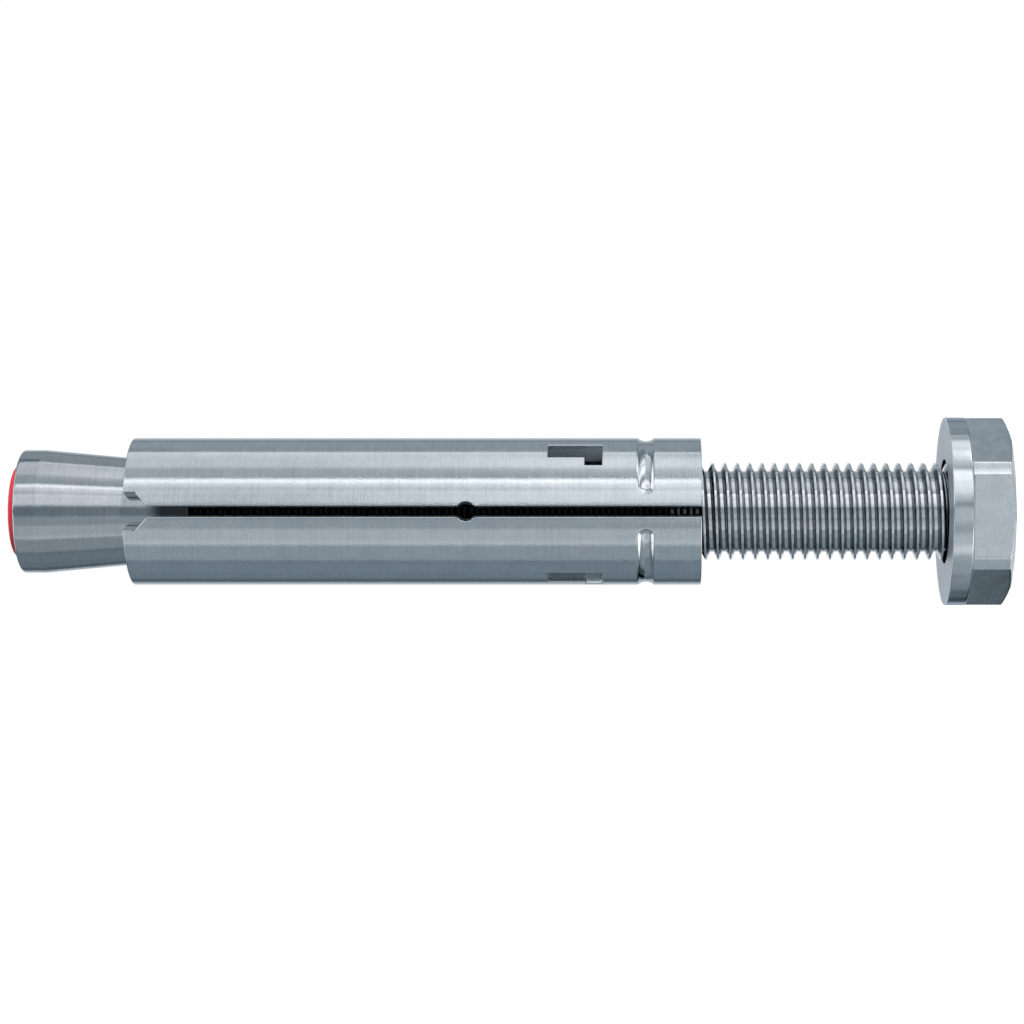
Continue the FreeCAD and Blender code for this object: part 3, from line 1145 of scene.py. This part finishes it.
@dataclass
class Studio:
    """Floor, surroundings, lamps and camera.

    The picture's sizes are pixels. A span gives where something starts and where it is full,
    as a turn or, for steep, keep and glint, as a direction's share of Z.
    """

    focal: float = 2842.0
    picture: float = 1024.0
    centre: Span = (648, 511.4)
    sensor: float = 36.0
    clip: Span = (0.01, 10)
    distance: float = 287.1
    eye_height: float = 36.2
    floor_radius: float = 60.0
    floor_depth: float = 0.01
    floor_sides: int = 96
    floor_glow: float = 0.86
    floor_tone: Rgb = (0.5, 0.5, 0.5)
    floor_roughness: float = 0.9
    lamps: tuple[Lamp, ...] = (
        Lamp("key", 48, 600, 260, 320, 5),
        Lamp("fill", -60, 700, 200, 420, 0.8))
    lamp_target: float = 50.0
    base: float = 0.27
    tint: Rgb = (0.77, 0.99, 1.16)
    keep_up: float = 0.45
    keep_down: float = 0.8
    glint: float = 0.9
    steep_span: Span = (0.35, 0.75)
    keep_span: Span = (-0.35, 0.35)
    glint_span: Span = (0.66, 0.76)
    upper_turns: Span = (2, 6)
    lower_turns: Span = (-22, -30)
    front_turns: Span = (125, 110)
    behind_turns: Span = (170, 173)
    panels: tuple[Panel, ...] = (
        *hang(Level.ALL, (165, 7, 16, 0.33), (125, 15, 4, 0.17), (105.2, 1.2, 1.2, 0.4),
              (99.5, 4, 4, 0.07), (89.5, 14.5, 4.5, 0.56), (64, 7, 4, 0.29), (49.8, 2.6, 1.3, 1.1),
              (44, 4, 3, 0.25), (37.5, 7.5, 5, 0.46), (18, 6, 5, 0.32), (-19, 8, 2.5, 0.19),
              (-38.5, 9.5, 2.5, 0.35), (-51, 2, 1.5, 0.33), (-67, 14, 4, 0.155), (-101, 8, 8, 0.03),
              (-140, 6, 5, -0.1), (-164, 14, 2, 0.33)),
        *hang(Level.LOW, (80, 6, 15, 0.36), (42, 6, 6, 0.25)),
        *hang(Level.FALLING, (22, 7.5, 5, 0.5)),
        *hang(Level.LAND, (109, 5, 5, -0.2), (22, 7.5, 5, 0.5)),
        *hang(Level.THREAD, (104, 5, 5, -0.2), (86, 12, 6, -0.28), (59, 4, 3, 0.3),
              (49.8, 2.6, 1.3, -0.5), (29, 5, 5, 0.1), (14, 3, 6, -0.2), (8, 1.5, 4, 0.14),
              (-6, 9, 4, 0.22)),
        *hang(Level.FOOT, (98, 7, 5, 0.25), (102, 3, 3.5, -0.75), (74, 8, 4, -0.2),
              (49.8, 4, 3, -0.36), (40, 6, 5, 0.35), (14, 5, 5, -0.5), (0, 9, 3, 0.42),
              (-46, 3, 3, 0.33), (-57, 4, 3, 0.1), (-91, 5, 4, 0.09), (-127, 12, 6, -0.11)),
        *hang(Level.HEAD, (114, 8, 5, -0.16), (72, 6, 3, 1), (-6.4, 6, 4, 0.07),
              (-127, 12, 6, -0.08)),
    )

    def surroundings(self) -> None:
        """Set the world: white to the camera, upright soft panels in reflections.

        The brightness of a direction is the base plus the panels' light. Steep directions
        keep a share of it, a glint shines from far above and, at negative turns, from far
        below, and the white backdrop stands behind.
        """
        world = bpy.data.worlds.new("studio")
        world.use_nodes = True
        bpy.context.scene.world = world
        graph = Graph(world.node_tree)
        x, y, z = graph.split(graph.node("TexCoord").outputs["Generated"])
        turn = graph.math("ARCTAN2", x, 0 - y) * (180 / math.pi)
        aside = abs(turn)
        light: Term = 0
        for panel in self.panels:
            light = light + panel.glow(graph, turn, z)
        steep = graph.smooth(abs(z), *self.steep_span)
        keep = self.keep_down + (self.keep_up - self.keep_down) * graph.smooth(z, *self.keep_span)
        start, full = self.glint_span
        rising = graph.smooth(z, start, full) * graph.smooth(aside, *self.upper_turns)
        falling = graph.smooth(z, -start, -full) * graph.smooth(turn, *self.lower_turns)
        glint = (rising + falling) * graph.smooth(aside, *self.front_turns) * self.glint
        light = light + glint
        bright = (self.base + light) * (1 - steep * (1 - keep)) + glint
        behind = graph.smooth(aside, *self.behind_turns) * (1 - steep)
        share = light / (light + self.base)
        bright = bright + behind * (1 - bright)
        seen = graph.signal(graph.node("LightPath"), "Is Camera Ray")
        white = graph.math("MAXIMUM", graph.math("MAXIMUM", seen, behind), share)
        back = graph.node("Background", None, {
            "Color": graph.blend(white, self.tint, WHITE),
            "Strength": bright + seen * (1 - bright)})
        graph.node("OutputWorld", None, {0: back.outputs[0]})

    def floor(self) -> None:
        """Lay the pale floor.

        It glows white to the camera and keeps the shadow. Reflections look through it at the
        surroundings, so that metal shows the same white backdrop below as above.
        """
        path = np.array([(share * self.floor_radius, -self.floor_depth) for share in (0, 0.5, 1)])
        mesh = turned_mesh("floor", path, circle(self.floor_sides))
        piece = add_object("floor", mesh)
        material, graph = new_material("floor_pale")
        rays = graph.node("LightPath")
        seen = graph.signal(rays, "Is Camera Ray") + graph.signal(rays, "Is Transmission Ray")
        glow = graph.node("Emission", None, {
            "Color": (*WHITE, 1), "Strength": seen * self.floor_glow})
        plain = graph.node("BsdfPrincipled", None, {
            "Base Color": (*self.floor_tone, 1), "Roughness": self.floor_roughness})
        both = graph.node("AddShader", None, {0: glow.outputs[0], 1: plain.outputs[0]})
        clear = graph.node("BsdfTransparent")
        mixed = graph.node("MixShader", None, {
            0: rays.outputs["Is Glossy Ray"], 1: both.outputs[0], 2: clear.outputs[0]})
        graph.node("OutputMaterial", None, {0: mixed.outputs[0]})
        mesh.materials.append(material)

    def camera(self) -> None:
        """Stand the camera: it looks along +Y, with +X up and -Z to the right."""
        data = bpy.data.cameras.new("view")
        data.sensor_width = self.sensor
        data.lens = self.sensor * self.focal / self.picture
        data.shift_x = (self.picture / 2 - self.centre[0]) / self.picture
        data.shift_y = (self.centre[1] - self.picture / 2) / self.picture
        data.clip_start, data.clip_end = self.clip
        camera = add_object("view", data)
        right, up, back = (0, 0, -1), (1, 0, 0), (0, -1, 0)
        turn = Matrix((right, up, back)).transposed().to_4x4()
        spot = Vector((0, -self.distance, self.eye_height)) * MM
        camera.matrix_world = Matrix.Translation(spot) @ turn
        bpy.context.scene.camera = camera

    def build(self) -> None:
        """Build the whole studio."""
        self.surroundings()
        self.floor()
        for lamp in self.lamps:
            lamp.build(Vector((0, 0, self.lamp_target * MM)))
        self.camera()
        bpy.context.scene.view_settings.view_transform = "Standard"


def main() -> None:
    """Build the pieces in order and then the studio."""
    logging.basicConfig(level=logging.INFO, format="%(name)s: %(message)s")
    for maker in (Sleeve(), ConeNut(), DustPlug(), HexBolt(), Washer()):
        for piece in maker.build():
            log.info("%s: %d faces", piece.name, len(piece.data.polygons))
    Studio().build()


if __name__ == "__main__":
    main()
